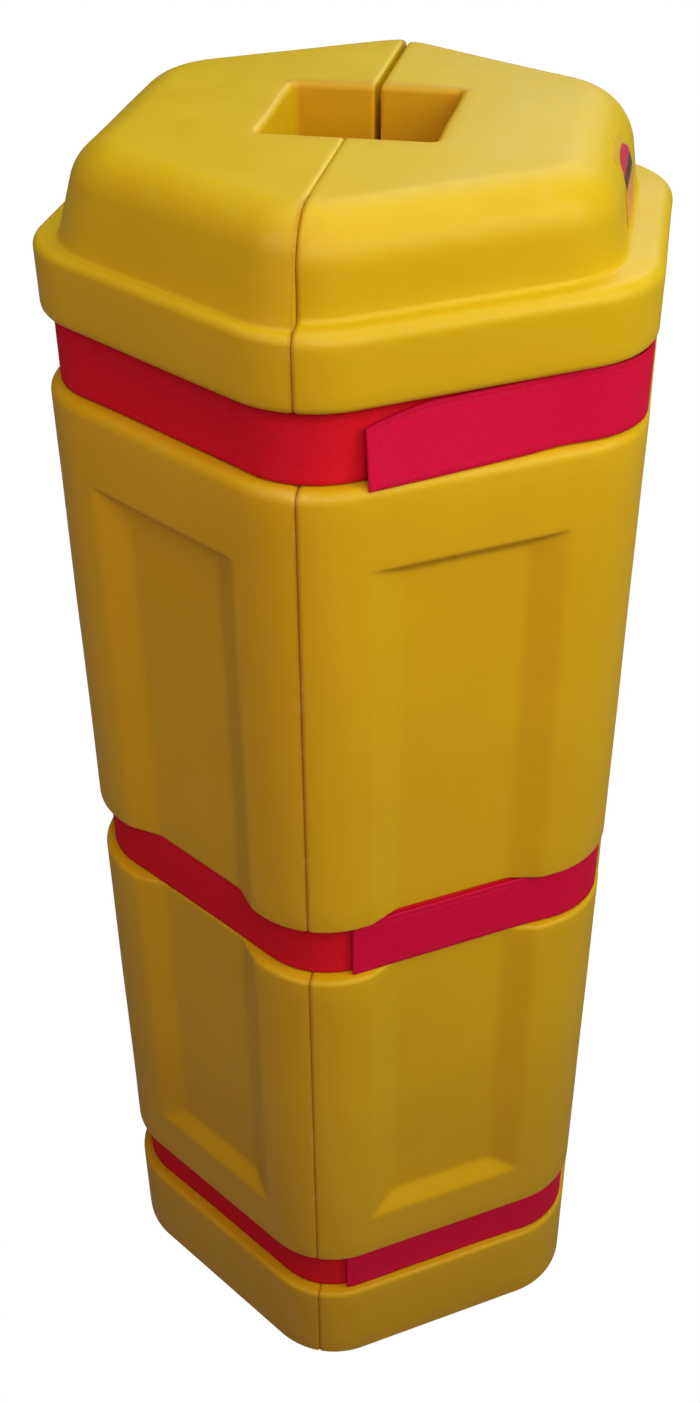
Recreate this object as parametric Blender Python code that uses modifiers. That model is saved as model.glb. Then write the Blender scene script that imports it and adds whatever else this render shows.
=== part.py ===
"""Moulded column protector: two hollow half shells that close round a square column.

Three hook-and-loop straps hold the halves shut. Metres, +Z up, the origin is the centre of the
base. The halves meet at the plane x = 0, and the left half is the one at negative x.
"""

import math

import bmesh
import bpy

# ---- driving dimensions -------------------------------------------------------------------------
HEIGHT = 1.070
NOSE_REACH = 0.2400       # centre to the sharp seam corner of the hexagon, before rounding
HALF_WIDTH = 0.2073       # centre to the two flat sides that face +X and -X
SIDE_CORNER_Y = 0.1080    # y of the sharp corners of those flat sides
NOSE_RADIUS = 0.072       # plan rounding of the seam corners
SIDE_RADIUS = 0.072       # plan rounding of the four side corners
LEAST_RADIUS = 0.022      # plan rounding that the cap keeps at its top
SEAM_GAP = 0.0006         # from the seam plane to each mating face
SEAM_ROUND = 0.0045       # rounding of the outer edges of the mating faces
CHANNEL_HALF = 0.0575     # half the side of the square column channel
CHANNEL_ROUND = 0.004
WALL = 0.006
CLEAR = 0.0003            # gap between pieces that touch

GROOVE_DEPTH = 0.014
GROOVE_HEIGHT = 0.052
GROOVE_BOTTOMS = {"top": 0.905, "middle": 0.487, "bottom": 0.090}
COLLAR_TOP = 1.009
BASE_ROUND = 0.004
COLLAR_ROUND = 0.012
CAP_FOOT_INSET = 0.0175   # the cap's slanted faces, at their foot and at the sharp top edge
CAP_TOP_INSET = 0.0190
CAP_FOOT_EXTRA = 0.0085   # how much further in its two side faces stand
CAP_TOP_EXTRA = 0.0170
CAP_FOOT_ROUND = 0.004
CAP_ROUND = 0.034         # fillet between the cap's walls and its top
CAP_SIDE_GROWTH = 0.014   # what the cap adds to the plan rounding of the side corners

RECESS_DEPTH = 0.0105
SLANT_RECESS = 0.140      # width at the face of a recess in a slanted face
SIDE_RECESS = 0.116
RECESS_SLOPE = 0.031      # how far the side slopes run in
RECESS_LOW, RECESS_HIGH = 0.190, 0.847
RECESS_SILL = 0.023       # height of the slope at the bottom end
RECESS_HEAD = 0.012       # height of the slope at the top end

WEBBING = 0.0024          # strap thickness
STRAP_HEIGHT = 0.050
PATCH_THICKNESS = 0.0010
PATCH_HEIGHT = 0.046
PATCH_LENGTH = 0.125
TAB_ENDS = {"top": 0.047, "middle": 0.036, "bottom": 0.028}   # girth from the front seam
TAB_HINGE = 0.196         # girth where the outer layer starts to lift
TAIL_END = 0.300          # girth where the inner layer stops, round the side corner
STEP_DOWN = 0.030         # girth over which the outer layer drops to the groove floor
STRAP_CUT = 0.00015       # half the gap between two lengths of one strap

VENT_X = 0.140
VENT_RADIUS = 0.006
VENT_HEAD_RADIUS = 0.0095
VENT_HEAD = 0.0018
VENT_POCKET = 0.0025

LABEL_THICKNESS = 0.0006
LABEL_FROM, LABEL_TO = -0.035, 0.030    # along Y
LABEL_LOW, LABEL_HIGH = 1.014, 1.057

ARC_STEP = math.radians(8.5)
NOSE_ANGLE = math.atan2(NOSE_REACH - SIDE_CORNER_Y, HALF_WIDTH)
FACE_LENGTH = math.hypot(NOSE_REACH - SIDE_CORNER_Y, HALF_WIDTH)
SIDE_TURN = math.pi / 2 - NOSE_ANGLE

YELLOW = (0.72, 0.42, 0.008)
SCARLET = (0.50, 0.012, 0.022)
CRIMSON = (0.56, 0.010, 0.045)
NEAR_BLACK = (0.03, 0.03, 0.032)
LABEL_RED = (0.42, 0.02, 0.05)


# ---- scene and materials ------------------------------------------------------------------------
def clear_scene():
    for old in list(bpy.data.objects):
        bpy.data.objects.remove(old, do_unlink=True)


def new_collection(name):
    group = bpy.data.collections.new(name)
    bpy.context.scene.collection.children.link(group)
    return group


def plain_material(name, colour, roughness):
    finish = bpy.data.materials.new(name)
    finish.use_nodes = True
    shader = finish.node_tree.nodes["Principled BSDF"]
    shader.inputs["Base Color"].default_value = (*colour, 1.0)
    shader.inputs["Roughness"].default_value = roughness
    shader.inputs["Metallic"].default_value = 0.0
    finish.diffuse_color = (*colour, 1.0)
    return finish


def new_object(name, mesh, group, finish=None):
    made = bpy.data.objects.new(name, mesh)
    group.objects.link(made)
    if finish is not None:
        mesh.materials.append(finish)
    return made


def mesh_from(bm, name, smooth_angle=None):
    bmesh.ops.recalc_face_normals(bm, faces=bm.faces[:])
    mesh = bpy.data.meshes.new(name)
    bm.to_mesh(mesh)
    bm.free()
    if smooth_angle is not None:
        mesh.shade_smooth()
        mesh.set_sharp_from_angle(angle=smooth_angle)
    return mesh


# ---- plan shape ---------------------------------------------------------------------------------
def arc(centre, radius, first, last, steps):
    """Points on an arc; angles are measured from -Y towards +X."""
    turn = [first + (last - first) * k / steps for k in range(steps + 1)]
    return [(centre[0] + radius * math.sin(t), centre[1] - radius * math.cos(t)) for t in turn]


def cap_share(inset, z):
    """0 on the body and 1 at the top of the cap's walls, or None below the cap."""
    if z < COLLAR_TOP - 1e-6 or inset < CAP_FOOT_INSET - CAP_FOOT_ROUND - 0.0005:
        return None
    return min(1.0, max(0.0, (z - COLLAR_TOP) / (HEIGHT - COLLAR_TOP)))


def half_outline(inset, z, plane):
    """The +X half of the rounded hexagon moved in by inset and cut at x = plane."""
    share = cap_share(inset, z)
    extra, growth = 0.0, 0.0
    if share is not None:
        extra = CAP_FOOT_EXTRA + (CAP_TOP_EXTRA - CAP_FOOT_EXTRA) * share
        growth = CAP_SIDE_GROWTH
    nose = max(NOSE_RADIUS - inset, LEAST_RADIUS)
    side = max(SIDE_RADIUS - inset, LEAST_RADIUS) + growth
    nose_y = -NOSE_REACH + (inset + nose) / math.cos(NOSE_ANGLE)
    side_x = HALF_WIDTH - inset - extra - side
    side_y = side_x * math.tan(NOSE_ANGLE) - NOSE_REACH + (inset + side) / math.cos(NOSE_ANGLE)
    edge_x = plane + SEAM_ROUND
    first = math.asin(edge_x / nose)
    edge_y = nose_y - nose * math.cos(first) + SEAM_ROUND
    front = arc((edge_x, edge_y), SEAM_ROUND, -math.pi / 2, first, 3)[:-1]
    front += arc((0.0, nose_y), nose, first, NOSE_ANGLE, 3)
    front += arc((side_x, side_y), side, NOSE_ANGLE, math.pi / 2, 5)
    return front + [(x, -y) for x, y in reversed(front)]


def loft(rings, side):
    """A closed bmesh through half outlines; side -1 mirrors it to negative x."""
    bm = bmesh.new()
    levels = [[bm.verts.new((side * x, y, z)) for x, y in outline] for outline, z in rings]
    for low, high in zip(levels, levels[1:]):
        for k in range(len(low) - 1):
            bm.faces.new((low[k], low[k + 1], high[k + 1], high[k]))
    bm.faces.new(levels[0])
    bm.faces.new(levels[-1])
    front_edge = [level[0] for level in levels]
    back_edge = [level[-1] for level in reversed(levels)]
    bm.faces.new(front_edge + back_edge)
    return bm


def rounded_corner(before, corner, after, radius, steps):
    """Points of a fillet at the corner of a profile given as (inset, z) pairs."""
    if radius == 0.0:
        return [corner]
    back = (before[0] - corner[0], before[1] - corner[1])
    ahead = (after[0] - corner[0], after[1] - corner[1])
    back_length = math.hypot(*back)
    ahead_length = math.hypot(*ahead)
    back = (back[0] / back_length, back[1] / back_length)
    ahead = (ahead[0] / ahead_length, ahead[1] / ahead_length)
    opening = math.acos(back[0] * ahead[0] + back[1] * ahead[1])
    reach = radius / math.tan(opening / 2)
    start = (corner[0] + back[0] * reach, corner[1] + back[1] * reach)
    end = (corner[0] + ahead[0] * reach, corner[1] + ahead[1] * reach)
    middle = (back[0] + ahead[0], back[1] + ahead[1])
    scale = radius / math.sin(opening / 2) / math.hypot(*middle)
    centre = (corner[0] + middle[0] * scale, corner[1] + middle[1] * scale)
    from_angle = math.atan2(start[1] - centre[1], start[0] - centre[0])
    swing = math.atan2(end[1] - centre[1], end[0] - centre[0]) - from_angle
    swing = (swing + math.pi) % (2 * math.pi) - math.pi
    turn = [from_angle + swing * k / steps for k in range(steps + 1)]
    return [(centre[0] + radius * math.cos(t), centre[1] + radius * math.sin(t)) for t in turn]


def outer_profile():
    """The side view of a half as (inset, z) points from the base to the cap."""
    corners = [(0.030, 0.0, 0.0, 1), (0.0, 0.0, BASE_ROUND, 2)]
    lips = {"bottom": (0.004, 0.003), "middle": (0.004, 0.003), "top": (0.008, 0.006)}
    for level in ("bottom", "middle", "top"):
        low = GROOVE_BOTTOMS[level]
        high = low + GROOVE_HEIGHT
        below, above = lips[level]
        corners += [(0.0, low, below, 2), (GROOVE_DEPTH, low, 0.0, 1)]
        corners += [(GROOVE_DEPTH, high, 0.0, 1), (0.0, high, above, 2)]
    corners += [(0.0, COLLAR_TOP, COLLAR_ROUND, 3), (CAP_FOOT_INSET, COLLAR_TOP, CAP_FOOT_ROUND, 2)]
    corners += [(CAP_TOP_INSET, HEIGHT, CAP_ROUND, 5), (0.062, HEIGHT, 0.0, 1)]
    points = [corners[0][:2]]
    for before, here, after in zip(corners, corners[1:], corners[2:]):
        points += rounded_corner(before[:2], here[:2], after[:2], here[2], here[3])
    return points + [corners[-1][:2]]


def cavity_profile():
    """The same side view one wall thickness inside, as (inset, z) points."""
    points = [(WALL + 0.010, WALL), (WALL, WALL + 0.010)]
    for level in ("bottom", "middle", "top"):
        low = GROOVE_BOTTOMS[level] - WALL
        high = GROOVE_BOTTOMS[level] + GROOVE_HEIGHT + WALL
        deep = GROOVE_DEPTH + WALL
        points += [(WALL, low), (deep, low), (deep, high), (WALL, high)]
    points += [(WALL, COLLAR_TOP - COLLAR_ROUND - 0.002)]
    points += [(CAP_FOOT_INSET + WALL - 0.010, COLLAR_TOP - WALL), (CAP_FOOT_INSET + WALL, COLLAR_TOP)]
    points += [(CAP_FOOT_INSET + WALL + 0.001, HEIGHT - CAP_ROUND)]
    return points + [(CAP_FOOT_INSET + 0.016, HEIGHT - 0.017), (0.056, HEIGHT - WALL)]


# ---- cutters ------------------------------------------------------------------------------------
def hide_cutter(cutter):
    cutter.hide_render = True
    cutter.display_type = "WIRE"
    return cutter


def cut(target, cutter):
    step = target.modifiers.new("cut_" + cutter.name, "BOOLEAN")
    step.operation = "DIFFERENCE"
    step.solver = "EXACT"
    step.object = cutter


def channel_cutter(name, half_side, group):
    """A square bar along Z, longer than the part, with rounded long edges."""
    bm = bmesh.new()
    bmesh.ops.create_cube(bm, size=1.0)
    bmesh.ops.scale(bm, vec=(2 * half_side, 2 * half_side, 1.4 * HEIGHT), verts=bm.verts)
    bmesh.ops.translate(bm, vec=(0.0, 0.0, HEIGHT / 2), verts=bm.verts)
    upright = [e for e in bm.edges if abs(e.verts[0].co.z - e.verts[1].co.z) > HEIGHT]
    bmesh.ops.bevel(bm, geom=upright, offset=CHANNEL_ROUND, segments=3, affect="EDGES", profile=0.5)
    return hide_cutter(new_object(name, mesh_from(bm, name), group))


def recess_faces(side):
    """Middle, outward heading about Z and recess width of the three outer faces of one half."""
    slant_x = side * HALF_WIDTH / 2
    slant_y = (NOSE_REACH + SIDE_CORNER_Y) / 2
    lean = side * SIDE_TURN
    ahead = 0.0 if side > 0 else math.pi
    return [
        ("front", (slant_x, -slant_y), ahead - lean, SLANT_RECESS),
        ("side", (side * HALF_WIDTH, 0.0), ahead, SIDE_RECESS),
        ("back", (slant_x, slant_y), ahead + lean, SLANT_RECESS),
    ]


def recess_cutter(name, middle, heading, full_width, grow, group):
    """A flat-bottomed recess with sloping sides; grow thickens it by the wall for the cavity."""
    bm = bmesh.new()
    bmesh.ops.create_cube(bm, size=1.0)
    depth = RECESS_DEPTH + grow
    out = 0.010
    floor_width = full_width - 2 * RECESS_SLOPE + 2 * grow
    floor_low = RECESS_LOW + RECESS_SILL - grow
    floor_high = RECESS_HIGH - RECESS_HEAD + grow
    flare = 1.0 + out / RECESS_DEPTH
    for vert in bm.verts:
        outward = vert.co.x > 0.0
        width = floor_width / 2 + (RECESS_SLOPE * flare if outward else 0.0)
        sill, head = (RECESS_SILL * flare, RECESS_HEAD * flare) if outward else (0.0, 0.0)
        vert.co.x = out if outward else -depth
        vert.co.y = math.copysign(width, vert.co.y)
        vert.co.z = floor_high + head if vert.co.z > 0.0 else floor_low - sill
    floor = [e for e in bm.edges if all(v.co.x < 0.0 for v in e.verts)]
    corners = [e for e in bm.edges if abs(e.verts[0].co.x - e.verts[1].co.x) > depth]
    bmesh.ops.bevel(bm, geom=floor + corners, offset=0.006, segments=1, affect="EDGES", profile=0.5)
    cutter = new_object(name, mesh_from(bm, name), group)
    cutter.location = (middle[0], middle[1], 0.0)
    cutter.rotation_euler = (0.0, 0.0, heading)
    return hide_cutter(cutter)


def cylinder_cutter(name, radius, low, high, x, group):
    bm = bmesh.new()
    bmesh.ops.create_cone(
        bm, cap_ends=True, segments=24, radius1=radius, radius2=radius, depth=high - low
    )
    bmesh.ops.translate(bm, vec=(x, 0.0, (low + high) / 2), verts=bm.verts)
    return hide_cutter(new_object(name, mesh_from(bm, name), group))


# ---- half shells --------------------------------------------------------------------------------
def cavity_cutter(label, side, group):
    rings = [(half_outline(inset, z, SEAM_GAP + WALL), z) for inset, z in cavity_profile()]
    cavity = hide_cutter(new_object(label + "_cavity", mesh_from(loft(rings, side), "cavity"), group))
    cut(cavity, channel_cutter(label + "_channel_wall", CHANNEL_HALF + WALL, group))
    for face, middle, heading, width in recess_faces(side):
        name = label + "_recess_wall_" + face
        cut(cavity, recess_cutter(name, middle, heading, width, WALL, group))
    return cavity


def half_shell(label, side, finish, parts, cutters):
    """One hollow moulding: outer form, column channel, panel recesses, air space and vent."""
    rings = [(half_outline(inset, z, SEAM_GAP), z) for inset, z in outer_profile()]
    mesh = mesh_from(loft(rings, side), label + "_half_shell", math.radians(40))
    shell = new_object(label + "_half_shell", mesh, parts, finish)
    for face, middle, heading, width in recess_faces(side):
        name = label + "_recess_" + face
        cut(shell, recess_cutter(name, middle, heading, width, 0.0, cutters))
    cut(shell, channel_cutter(label + "_channel", CHANNEL_HALF, cutters))
    cut(shell, cavity_cutter(label, side, cutters))
    x = side * VENT_X
    pocket_radius = VENT_HEAD_RADIUS + 0.0005
    cut(shell, cylinder_cutter(label + "_pocket", pocket_radius, -0.01, VENT_POCKET, x, cutters))
    cut(shell, cylinder_cutter(label + "_vent", VENT_RADIUS, -0.01, 2.5 * WALL, x, cutters))
    return shell


def vent_plug(label, side, finish, parts):
    """A push-in plug turned about Z: flat head in the base pocket, stem with a lead-in."""
    stem = VENT_RADIUS - CLEAR
    profile = [(0.0, 0.0), (0.004, 0.0), (stem - 0.001, -0.0005), (stem, -0.0035)]
    profile += [(stem, -0.0120 + VENT_HEAD), (VENT_HEAD_RADIUS, -0.0120 + VENT_HEAD)]
    profile += [(VENT_HEAD_RADIUS, -0.0120), (0.0, -0.0120)]
    bm = bmesh.new()
    points = [bm.verts.new((r, 0.0, z)) for r, z in profile]
    for one, two in zip(points, points[1:]):
        bm.edges.new((one, two))
    mesh = bpy.data.meshes.new(label + "_vent_plug")
    bm.to_mesh(mesh)
    bm.free()
    plug = new_object(label + "_vent_plug", mesh, parts, finish)
    plug.location = (side * VENT_X, 0.0, 0.0120 + 0.0004)
    turned = plug.modifiers.new("turned", "SCREW")
    turned.steps = 24
    turned.render_steps = 24
    turned.use_merge_vertices = True
    turned.merge_threshold = 0.00005
    turned.use_smooth_shade = False
    return plug


# ---- straps -------------------------------------------------------------------------------------
def girth_elements():
    """Stretches of half the outline as (kind, length, start angle, end angle)."""
    straight = FACE_LENGTH - NOSE_RADIUS * math.tan(NOSE_ANGLE)
    straight -= SIDE_RADIUS * math.tan(SIDE_TURN / 2)
    flat = 2 * (SIDE_CORNER_Y - SIDE_RADIUS * math.tan(SIDE_TURN / 2))
    right = math.pi / 2
    return [
        ("arc", NOSE_RADIUS * NOSE_ANGLE, 0.0, NOSE_ANGLE),
        ("run", straight, NOSE_ANGLE, NOSE_ANGLE),
        ("arc", SIDE_RADIUS * SIDE_TURN, NOSE_ANGLE, right),
        ("run", flat, right, right),
        ("arc", SIDE_RADIUS * SIDE_TURN, right, math.pi - NOSE_ANGLE),
        ("run", straight, math.pi - NOSE_ANGLE, math.pi - NOSE_ANGLE),
        ("arc", NOSE_RADIUS * NOSE_ANGLE, math.pi - NOSE_ANGLE, math.pi),
    ]


HALF_GIRTH = sum(element[1] for element in girth_elements())


def on_girth(distance, depth):
    """The plan point at a distance round from the front seam (+X side positive), depth inside."""
    side = 1.0 if distance >= 0.0 else -1.0
    left = abs(distance)
    x, y = 0.0, -NOSE_REACH + NOSE_RADIUS * (1.0 / math.cos(NOSE_ANGLE) - 1.0)
    for kind, length, first, last in girth_elements():
        part = min(left, length)
        turn = first + (last - first) * part / length
        if kind == "arc":
            radius = length / (last - first)
            x += radius * (math.sin(turn) - math.sin(first))
            y -= radius * (math.cos(turn) - math.cos(first))
        else:
            x += part * math.cos(first)
            y += part * math.sin(first)
        left -= part
        if left <= 0.0:
            break
    return side * (x - depth * math.sin(turn)), y + depth * math.cos(turn)


def girth_stops(start, end, extra):
    """Distances from start to end that pick out every arc and each extra stop."""
    stops = {start, end}
    walked = 0.0
    for kind, length, first, last in girth_elements():
        pieces = max(2, round((last - first) / ARC_STEP)) if kind == "arc" else 1
        for k in range(pieces + 1):
            here = walked + length * k / pieces
            stops.update((here, -here))
        walked += length
    stops.update(extra)
    inside = sorted(s for s in stops if start - 1e-9 <= s <= end + 1e-9)
    return [s for k, s in enumerate(inside) if k == 0 or s - inside[k - 1] > 1e-6]


def band(name, start, end, thickness, height, low, depth, finish, parts, extra=()):
    """A strip of webbing from start to end round the girth; depth gives its outer face."""
    stops = girth_stops(start, end, extra)
    outer = [on_girth(s, depth(s)) for s in stops]
    inner = [on_girth(s, depth(s) + thickness) for s in reversed(stops)]
    bm = bmesh.new()
    foot = bm.faces.new([bm.verts.new((x, y, low)) for x, y in outer + inner])
    grown = bmesh.ops.extrude_face_region(bm, geom=[foot])
    raised = [v for v in grown["geom"] if isinstance(v, bmesh.types.BMVert)]
    bmesh.ops.translate(bm, vec=(0.0, 0.0, height), verts=raised)
    return new_object(name, mesh_from(bm, name), parts, finish)


def strap(level, looks, parts):
    """One strap: a length on each half, the tail under the lap, the tab over it, its hooks."""
    low = GROOVE_BOTTOMS[level] + (GROOVE_HEIGHT - STRAP_HEIGHT) / 2
    under = GROOVE_DEPTH - CLEAR - WEBBING
    hooks = under - CLEAR - PATCH_THICKNESS
    over = hooks - CLEAR - WEBBING
    tab_end = TAB_ENDS[level]
    lap_end = TAIL_END + 0.004

    def lapped(distance):
        share = min(1.0, max(0.0, (distance - lap_end) / STEP_DOWN))
        return over + (under - over) * share * share * (3.0 - 2.0 * share)

    drop = [lap_end + STEP_DOWN * k / 6 for k in range(7)]
    name = level + "_strap_"
    band(name + "left_run", -HALF_GIRTH + STRAP_CUT, -STRAP_CUT, WEBBING, STRAP_HEIGHT, low,
         lambda s: under, looks["strap"], parts)
    band(name + "tail", STRAP_CUT, TAIL_END, WEBBING, STRAP_HEIGHT, low,
         lambda s: under, looks["strap"], parts)
    band(name + "right_run", TAB_HINGE + STRAP_CUT, HALF_GIRTH - STRAP_CUT, WEBBING,
         STRAP_HEIGHT, low, lapped, looks["tab"], parts, drop)
    band(name + "tab", tab_end, TAB_HINGE - STRAP_CUT, WEBBING, STRAP_HEIGHT, low,
         lambda s: over, looks["tab"], parts)
    band(name + "hook_patch", tab_end + 0.006, tab_end + 0.006 + PATCH_LENGTH, PATCH_THICKNESS,
         PATCH_HEIGHT, low + (STRAP_HEIGHT - PATCH_HEIGHT) / 2, lambda s: hooks,
         looks["hooks"], parts)


# ---- label --------------------------------------------------------------------------------------
def cap_label(finish, parts):
    """A blank film label wrapped over the shoulder of the cap's side that faces +X."""
    wall = [
        (inset + CAP_FOOT_EXTRA + (CAP_TOP_EXTRA - CAP_FOOT_EXTRA) * cap_share(inset, z), z)
        for inset, z in outer_profile()
        if inset >= CAP_FOOT_INSET - 0.001 and z > COLLAR_TOP
    ]
    shoulder = [point for point in wall if LABEL_LOW < point[1] < LABEL_HIGH]
    for edge, place in ((LABEL_LOW, 0), (LABEL_HIGH, len(shoulder) + 1)):
        low, high = next(pair for pair in zip(wall, wall[1:]) if pair[0][1] <= edge <= pair[1][1])
        share = (edge - low[1]) / (high[1] - low[1])
        shoulder.insert(place, (low[0] + (high[0] - low[0]) * share, edge))
    bm = bmesh.new()
    outline = []
    for away in (CLEAR + LABEL_THICKNESS, CLEAR):
        side = []
        for k, (inset, z) in enumerate(shoulder):
            before, after = shoulder[max(k - 1, 0)], shoulder[min(k + 1, len(shoulder) - 1)]
            run, rise = after[0] - before[0], after[1] - before[1]
            length = math.hypot(run, rise)
            side.append((HALF_WIDTH - inset + away * rise / length, z + away * run / length))
        outline += side if away > CLEAR else reversed(side)
    end = bm.faces.new([bm.verts.new((x, LABEL_FROM, z)) for x, z in outline])
    grown = bmesh.ops.extrude_face_region(bm, geom=[end])
    moved = [v for v in grown["geom"] if isinstance(v, bmesh.types.BMVert)]
    bmesh.ops.translate(bm, vec=(0.0, LABEL_TO - LABEL_FROM, 0.0), verts=moved)
    return new_object("cap_label", mesh_from(bm, "cap_label"), parts, finish)


# ---- assembly -----------------------------------------------------------------------------------
def build():
    clear_scene()
    parts = new_collection("column_protector")
    cutters = new_collection("cutters")
    looks = {
        "shell": plain_material("yellow_polyethylene", YELLOW, 0.42),
        "plug": plain_material("black_plug", NEAR_BLACK, 0.5),
        "strap": plain_material("red_webbing", SCARLET, 0.7),
        "tab": plain_material("crimson_webbing", CRIMSON, 0.65),
        "hooks": plain_material("black_hooks", NEAR_BLACK, 0.8),
        "label": plain_material("red_label", LABEL_RED, 0.35),
    }
    for label, side in (("left", -1), ("right", 1)):
        half_shell(label, side, looks["shell"], parts, cutters)
        vent_plug(label, side, looks["plug"], parts)
    for level in ("top", "middle", "bottom"):
        strap(level, looks, parts)
    cap_label(looks["label"], parts)


build()
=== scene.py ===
"""The looks of the moulded column protector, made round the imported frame.

Metres, +Z up, the front towards -Y. The two half shells meet at x = 0.
"""

import math

import bmesh
import bpy
from mathutils import Matrix, Vector, noise


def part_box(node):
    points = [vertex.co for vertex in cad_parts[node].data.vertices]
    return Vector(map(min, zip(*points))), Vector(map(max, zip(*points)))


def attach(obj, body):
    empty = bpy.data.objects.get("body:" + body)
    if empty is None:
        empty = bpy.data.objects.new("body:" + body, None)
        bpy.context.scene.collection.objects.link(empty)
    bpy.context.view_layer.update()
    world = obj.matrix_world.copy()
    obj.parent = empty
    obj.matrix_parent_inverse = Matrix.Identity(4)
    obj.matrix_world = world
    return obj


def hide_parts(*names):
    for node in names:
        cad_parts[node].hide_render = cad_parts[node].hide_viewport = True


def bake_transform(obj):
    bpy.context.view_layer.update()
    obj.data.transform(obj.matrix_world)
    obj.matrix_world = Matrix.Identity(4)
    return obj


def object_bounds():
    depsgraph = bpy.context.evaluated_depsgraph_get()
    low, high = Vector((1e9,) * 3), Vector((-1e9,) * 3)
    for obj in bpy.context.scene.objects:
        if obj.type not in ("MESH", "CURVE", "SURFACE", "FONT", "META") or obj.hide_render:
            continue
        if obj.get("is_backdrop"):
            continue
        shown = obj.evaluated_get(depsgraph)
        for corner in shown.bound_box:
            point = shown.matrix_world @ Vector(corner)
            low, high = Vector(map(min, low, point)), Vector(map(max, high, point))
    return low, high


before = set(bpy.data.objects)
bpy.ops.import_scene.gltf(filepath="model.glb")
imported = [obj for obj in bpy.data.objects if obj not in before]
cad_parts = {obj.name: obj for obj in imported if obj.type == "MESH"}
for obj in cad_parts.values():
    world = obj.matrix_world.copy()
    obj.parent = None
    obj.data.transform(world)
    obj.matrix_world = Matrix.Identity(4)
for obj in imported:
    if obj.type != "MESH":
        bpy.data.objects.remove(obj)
cad_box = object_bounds()

# ---- sizes shared with the CAD source -----------------------------------------------------------
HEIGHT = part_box("right_half_shell")[1].z
HALF_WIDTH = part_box("right_half_shell")[1].x
NOSE_REACH = 0.2400       # centre to the sharp seam corner of the hexagon, before rounding
SIDE_CORNER_Y = 0.1080    # y of the sharp corners of the flat sides
NOSE_RADIUS = 0.072       # plan rounding of the seam corners
SIDE_RADIUS = 0.072       # plan rounding of the side corners
LEAST_RADIUS = 0.022      # plan rounding that an inset corner keeps
CHANNEL_HALF = 0.0575     # half the side of the square channel
CHANNEL_ROUND = 0.004
CLEAR = 0.0003            # gap between pieces that touch
BASE_ROUND = 0.004

GROOVE_DEPTH = 0.014
GROOVE_HEIGHT = 0.052
GROOVE_BOTTOMS = {"top": 0.905, "middle": 0.487, "bottom": 0.090}
# fillets of each groove's lower and upper lips
GROOVE_LIPS = {"bottom": (0.004, 0.003), "middle": (0.004, 0.003), "top": (0.008, 0.006)}

CAP_FOOT_EXTRA, CAP_TOP_EXTRA = 0.0085, 0.0170   # how much further in the cap's side faces stand
CAP_SIDE_GROWTH = 0.014   # what the cap adds to the plan rounding of the side corners
RECESS_DEPTH = 0.0105
RECESS_SLOPE = 0.031      # how far a recess's side slopes run in
RECESS_LOW, RECESS_HIGH = 0.190, 0.847
RECESS_HEAD = 0.012       # height of the slope at its top end

WEBBING = 0.0024          # strap thickness
STRAP_HEIGHT = 0.050
PATCH_THICKNESS = 0.0010
PATCH_HEIGHT = 0.046
PATCH_LENGTH = 0.125
TAB_ENDS = {"top": 0.047, "middle": 0.036, "bottom": 0.028}   # girth from the front seam
TAB_HINGE = 0.196         # girth where the outer layer starts to lift
TAIL_END = 0.300          # girth where the inner layer stops
STEP_DOWN = 0.030         # girth over which the outer layer drops to the groove's floor
VENT_X = 0.140
VENT_POCKET = 0.0025

NOSE_ANGLE = math.atan2(NOSE_REACH - SIDE_CORNER_Y, HALF_WIDTH)
FACE_LENGTH = math.hypot(NOSE_REACH - SIDE_CORNER_Y, HALF_WIDTH)
SIDE_TURN = math.pi / 2 - NOSE_ANGLE

# ---- sizes that differ a little from the CAD's and from half to half ----------------------------
COLLAR_TOP = {"left": 1.0060, "right": 1.0080}       # the ledge round the cap's foot
COLLAR_ROUND = {"left": 0.0060, "right": 0.0100}
CAP_FOOT_INSET = {"left": 0.0092, "right": 0.0175}   # the cap's slanted faces, at their foot
CAP_TOP_INSET = {"left": 0.0220, "right": 0.0190}    # and at the sharp top edge
CAP_FOOT_ROUND = {"left": 0.0030, "right": 0.0040}
CAP_ROUND = {"left": 0.030, "right": 0.034}          # fillet between the cap's walls and its top
RECESS_EDGES = {"face": (-0.0715, 0.0755), "side": (-0.058, 0.058)}   # from a face's middle
RECESS_SILL = 0.020       # height of the slope at a recess's bottom end

# ---- lighting -----------------------------------------------------------------------------------
FLOOR_GLOW = 1.0
SKY, GROUND = 0.04, 0.26   # brightness of the surroundings above and below the horizon
SKY_COLOUR = (1.0, 0.78, 0.60)
# name, place, aim, side of the square panel, power, colour
LAMPS = [
    ("overhead", (0.1, -0.1, 2.7), (0.0, 0.0, 0.9), 2.0, 19.6, (0.80, 1.0, 0.78)),
    ("key", (1.7, -0.55, 1.85), (0.0, 0.0, 0.8), 0.9, 20.0, (0.83, 1.0, 0.42)),
    ("left_fill", (-0.9, -1.35, 1.95), (0.0, 0.0, 0.85), 1.0, 6.1, (1.0, 0.74, 0.90)),
    ("right_fill", (0.75, -1.55, 2.05), (0.0, 0.0, 0.85), 1.0, 16.4, (1.0, 0.76, 0.60)),
    ("back", (0.4, 1.7, 2.3), (0.0, 0.0, 1.0), 1.4, 14.0, (0.92, 1.0, 0.95)),
]

# ---- camera -------------------------------------------------------------------------------------
CAMERA_PLACE = (0.1999, -1.0716, 1.3788)
CAMERA_YAW, CAMERA_PITCH, CAMERA_ROLL = 0.1944, 0.6267, -0.0075
CAMERA_LENS = 41.50

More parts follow.
